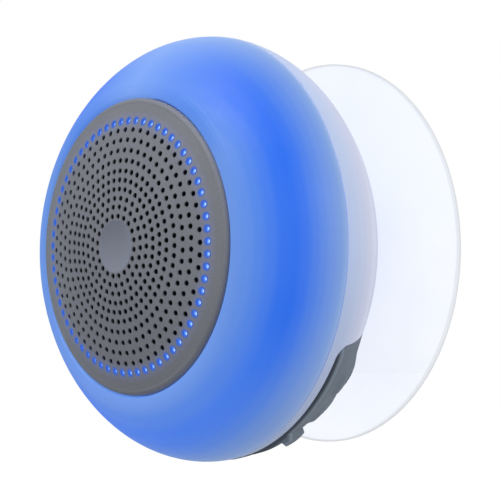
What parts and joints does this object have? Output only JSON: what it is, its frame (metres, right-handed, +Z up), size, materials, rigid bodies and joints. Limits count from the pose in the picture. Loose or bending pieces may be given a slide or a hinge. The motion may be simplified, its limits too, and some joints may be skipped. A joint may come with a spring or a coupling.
{
  "type": "shower speaker",
  "caption": "Round wireless shower speaker with a domed perforated grille, a lit diffuser, a bottom key strip and a charging port, swivelling on a clear suction cup.",
  "frame": {"origin": "centre of the suction cup's sealing rim, on the wall plane", "axes": "+Y goes into the wall along the cup's axis, the grille faces -Y, +Z is up with the control strip at the bottom, +X is to the right when looking into the wall"},
  "size_m": [0.1, 0.0652, 0.1],
  "materials": {
    "clear_pvc": "clear soft PVC, glossy",
    "grey_acetal": "satin",
    "pearl_shell": "pale lavender grey, satin",
    "lit_diffuser": "milky, lit blue from inside",
    "seal_rubber": "matte",
    "grille_grey": "mid grey, matte",
    "black_mesh": "fine woven cloth",
    "lit_guide": "clear, lit blue-white",
    "black_plastic": "matte",
    "black_foam": "closed-cell foam, matte",
    "basket_steel": "black painted pressed steel",
    "ferrite": "sintered ferrite, matte",
    "zinc_steel": "bright plated",
    "brass_contact": "plated",
    "surround_rubber": "matte",
    "spider_cloth": "resin-stiffened cloth",
    "cone_paper": "pressed paper pulp",
    "copper_coil": "enamelled copper wire",
    "white_board": "white solder mask",
    "lamp": "lit lamp",
    "green_board": "green solder mask",
    "chip_black": "moulded epoxy",
    "battery_foil": "silver laminate pouch",
    "red_lead": "PVC insulation",
    "black_lead": "PVC insulation",
    "ribbon_film": "polyimide film",
    "slate_silicone": "slate grey silicone, matte",
    "slate_key": "slate grey silicone, matte"
  },
  "bodies": {
    "cup": {"suction_cup": "clear_pvc"},
    "housing": {"cup_bearing": "grey_acetal", "rear_shell": "pearl_shell", "front_diffuser": "lit_diffuser", "seam_seal": "seal_rubber", "grille_panel": "grille_grey", "grille_mesh": "black_mesh", "light_guide": "lit_guide", "inner_frame": "black_plastic", "speaker_gasket": "black_foam", "speaker_basket": "basket_steel", "speaker_magnet": "ferrite", "speaker_top_plate": "zinc_steel", "speaker_yoke": "zinc_steel", "speaker_terminals": "brass_contact", "speaker_surround": "surround_rubber", "speaker_spider": "spider_cloth", "led_board": "white_board", "led_lamps": "lamp", "main_board": "green_board", "board_chips": "chip_black", "battery": "battery_foil", "battery_foam": "black_foam", "speaker_leads": "red_lead", "battery_leads": "black_lead", "led_ribbon": "ribbon_film", "control_strip": "slate_silicone", "key_circuit": "ribbon_film", "key_domes": "zinc_steel", "usb_connector": "zinc_steel", "port_board": "green_board", "microphone": "zinc_steel", "short_screws": "zinc_steel", "long_screws": "zinc_steel"},
    "cone": {"speaker_cone": "cone_paper", "dust_cap": "cone_paper", "voice_coil": "copper_coil"},
    "port_flap": {"port_cover": "slate_silicone"},
    "key_call_cap": {"key_call": "slate_key"},
    "key_previous_cap": {"key_previous": "slate_key"},
    "key_play_cap": {"key_play": "slate_key"},
    "key_next_cap": {"key_next": "slate_key"},
    "key_light_cap": {"key_light": "slate_key"}
  },
  "joints": [
    {"name": "housing_swivel", "type": "hinge", "parent": "cup", "child": "housing", "pos_m": [0, 0, 0], "axis": [0, 1, 0], "continuous": true},
    {"name": "cone_travel", "type": "slide", "parent": "housing", "child": "cone", "axis": [0, -1, 0], "range_m": [-0.0015, 0.0015], "stiffness_N_per_m": 1500, "deforming": ["speaker_surround", "speaker_spider"]},
    {"name": "key_call_press", "type": "slide", "parent": "housing", "child": "key_call_cap", "axis": [0.6095, -0.5898, 0.5298], "range_m": [0, 0.0006], "stiffness_N_per_m": 2500, "springref_m": -0.0002},
    {"name": "key_previous_press", "type": "slide", "parent": "housing", "child": "key_previous_cap", "axis": [0.4804, -0.5898, 0.6492], "range_m": [0, 0.0006], "stiffness_N_per_m": 2500, "springref_m": -0.0002},
    {"name": "key_play_press", "type": "slide", "parent": "housing", "child": "key_play_cap", "axis": [0, -0.5898, 0.8076], "range_m": [0, 0.0006], "stiffness_N_per_m": 2500, "springref_m": -0.0002},
    {"name": "key_next_press", "type": "slide", "parent": "housing", "child": "key_next_cap", "axis": [-0.4804, -0.5898, 0.6492], "range_m": [0, 0.0006], "stiffness_N_per_m": 2500, "springref_m": -0.0002},
    {"name": "key_light_press", "type": "slide", "parent": "housing", "child": "key_light_cap", "axis": [-0.6095, -0.5898, 0.5298], "range_m": [0, 0.0006], "stiffness_N_per_m": 2500, "springref_m": -0.0002},
    {"name": "port_cover_hinge", "type": "hinge", "parent": "housing", "child": "port_flap", "pos_m": [0.01126, -0.03189, -0.04795], "axis": [-0.1396, 0.9247, 0.3543], "range_deg": [0, 110]}
  ]
}
